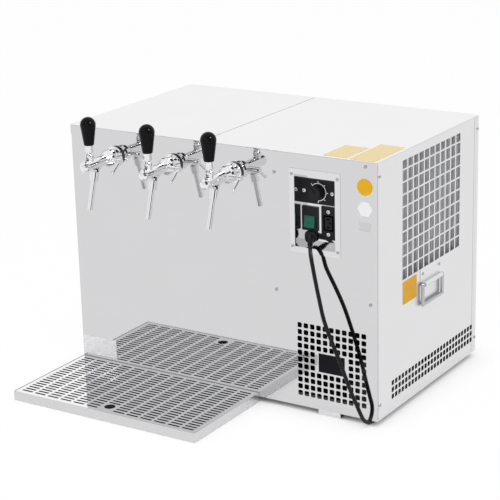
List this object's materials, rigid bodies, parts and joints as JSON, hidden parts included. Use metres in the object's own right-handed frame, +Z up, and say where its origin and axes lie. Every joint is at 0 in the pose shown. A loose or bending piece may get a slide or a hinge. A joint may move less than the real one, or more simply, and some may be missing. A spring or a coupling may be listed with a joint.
{
  "type": "counter-top beer cooler with taps",
  "caption": "Box-shaped water-bath beer cooler with lever taps on its polished front, a control recess, side handles, vents and a slotted drip tray.",
  "frame": {"origin": "centre of the whole footprint (cabinet, tray and rear stubs, without the lead) at floor level", "axes": "+X to the right seen from the front, along the width; +Y to the back; +Z up; the taps point to -Y"},
  "size_m": [0.6532, 0.625, 0.5091],
  "materials": {
    "polished_steel": "mirror polished",
    "satin_steel": "satin",
    "cover_steel": "satin, pale",
    "chrome": "polished",
    "knob_black": "gloss",
    "black_plastic": "satin",
    "green_rocker": "gloss",
    "black_rubber": "matt",
    "yellow_label": "printed film, blank",
    "white_label": "printed film, blank",
    "white_screw": "zinc white",
    "foam": "foam",
    "copper": "bare copper",
    "stainless_tube": "drawn tube",
    "dark_metal": "satin black",
    "fin_aluminium": "bare fins"
  },
  "bodies": {
    "cabinet": {"front_panel": "polished_steel", "control_recess": "polished_steel", "base_pan": "satin_steel", "feet": "satin_steel", "right_side_panel": "satin_steel", "left_side_panel": "satin_steel", "rear_panel": "satin_steel", "handle_plates": "satin_steel", "water_bath": "satin_steel", "top_cover": "cover_steel", "steel_screws": "chrome", "tap_nuts": "chrome", "beer_inlets": "chrome", "bath_drain": "chrome", "tap_1_body": "chrome", "tap_1_spout": "chrome", "tap_2_body": "chrome", "tap_2_spout": "chrome", "tap_3_body": "chrome", "tap_3_spout": "chrome", "thermostat": "black_plastic", "switch_housing": "black_plastic", "outlet_socket": "black_plastic", "cable_gland": "black_plastic", "lead_plug": "black_plastic", "badge_plate": "black_plastic", "fan_shroud": "black_plastic", "tap_gaskets": "black_rubber", "mains_lead": "black_rubber", "yellow_labels": "yellow_label", "white_labels": "white_label", "white_screws": "white_screw", "insulation": "foam", "evaporator_coil": "copper", "refrigerant_lines": "copper", "beer_coil_1": "stainless_tube", "beer_coil_2": "stainless_tube", "beer_coil_3": "stainless_tube", "compressor": "dark_metal", "fan_motor": "dark_metal", "agitator_motor": "dark_metal", "condenser": "fin_aluminium"},
    "tap_1_handle": {"tap_1_lever": "chrome", "tap_1_knob": "knob_black"},
    "tap_1_flow": {"tap_1_flow_lever": "chrome"},
    "tap_2_handle": {"tap_2_lever": "chrome", "tap_2_knob": "knob_black"},
    "tap_2_flow": {"tap_2_flow_lever": "chrome"},
    "tap_3_handle": {"tap_3_lever": "chrome", "tap_3_knob": "knob_black"},
    "tap_3_flow": {"tap_3_flow_lever": "chrome"},
    "thermostat_dial": {"thermostat_knob": "black_plastic"},
    "rocker": {"rocker_switch": "green_rocker"},
    "lid": {"bath_lid": "cover_steel"},
    "tray": {"drip_tray": "satin_steel"},
    "grid": {"drip_grid": "satin_steel"},
    "right_bail": {"right_handle_bail": "polished_steel"},
    "left_bail": {"left_handle_bail": "polished_steel"},
    "fan": {"fan_blade": "fin_aluminium"},
    "stirrer": {"agitator_shaft": "stainless_tube"}
  },
  "joints": [
    {"name": "tap_1_pull", "type": "hinge", "parent": "cabinet", "child": "tap_1_handle", "pos_m": [-0.218, -0.18, 0.4375], "axis": [1, 0, 0], "range_deg": [0, 40]},
    {"name": "tap_1_flow_turn", "type": "hinge", "parent": "cabinet", "child": "tap_1_flow", "pos_m": [-0.1915, -0.134, 0.4215], "axis": [1, 0, 0], "range_deg": [-35, 50]},
    {"name": "tap_2_pull", "type": "hinge", "parent": "cabinet", "child": "tap_2_handle", "pos_m": [-0.0905, -0.18, 0.4375], "axis": [1, 0, 0], "range_deg": [0, 40]},
    {"name": "tap_2_flow_turn", "type": "hinge", "parent": "cabinet", "child": "tap_2_flow", "pos_m": [-0.064, -0.134, 0.4215], "axis": [1, 0, 0], "range_deg": [-35, 50]},
    {"name": "tap_3_pull", "type": "hinge", "parent": "cabinet", "child": "tap_3_handle", "pos_m": [0.037, -0.18, 0.4375], "axis": [1, 0, 0], "range_deg": [0, 40]},
    {"name": "tap_3_flow_turn", "type": "hinge", "parent": "cabinet", "child": "tap_3_flow", "pos_m": [0.0635, -0.134, 0.4215], "axis": [1, 0, 0], "range_deg": [-35, 50]},
    {"name": "thermostat_turn", "type": "hinge", "parent": "cabinet", "child": "thermostat_dial", "pos_m": [0.1945, -0.094, 0.4005], "axis": [0, -1, 0], "range_deg": [0, 270]},
    {"name": "switch_rock", "type": "hinge", "parent": "cabinet", "child": "rocker", "pos_m": [0.1775, -0.082, 0.3455], "axis": [1, 0, 0], "range_deg": [0, 14]},
    {"name": "lid_lift", "type": "slide", "parent": "cabinet", "child": "lid", "axis": [0, 0, 1], "range_m": [0, 0.15]},
    {"name": "tray_pull", "type": "slide", "parent": "cabinet", "child": "tray", "axis": [0, -1, 0], "range_m": [0, 0.25]},
    {"name": "grid_lift", "type": "slide", "parent": "tray", "child": "grid", "axis": [0, 0, 1], "range_m": [0, 0.08]},
    {"name": "right_bail_swing", "type": "hinge", "parent": "cabinet", "child": "right_bail", "pos_m": [0.3222, 0.096, 0.211], "axis": [0, -1, 0], "range_deg": [0, 95]},
    {"name": "left_bail_swing", "type": "hinge", "parent": "cabinet", "child": "left_bail", "pos_m": [-0.3222, 0.096, 0.211], "axis": [0, 1, 0], "range_deg": [0, 95]},
    {"name": "fan_spin", "type": "hinge", "parent": "cabinet", "child": "fan", "pos_m": [0.2425, 0.1005, 0.3375], "axis": [1, 0, 0], "continuous": true},
    {"name": "stirrer_spin", "type": "hinge", "parent": "cabinet", "child": "stirrer", "pos_m": [-0.17275, 0.0935, 0.3], "axis": [0, 0, 1], "continuous": true}
  ]
}
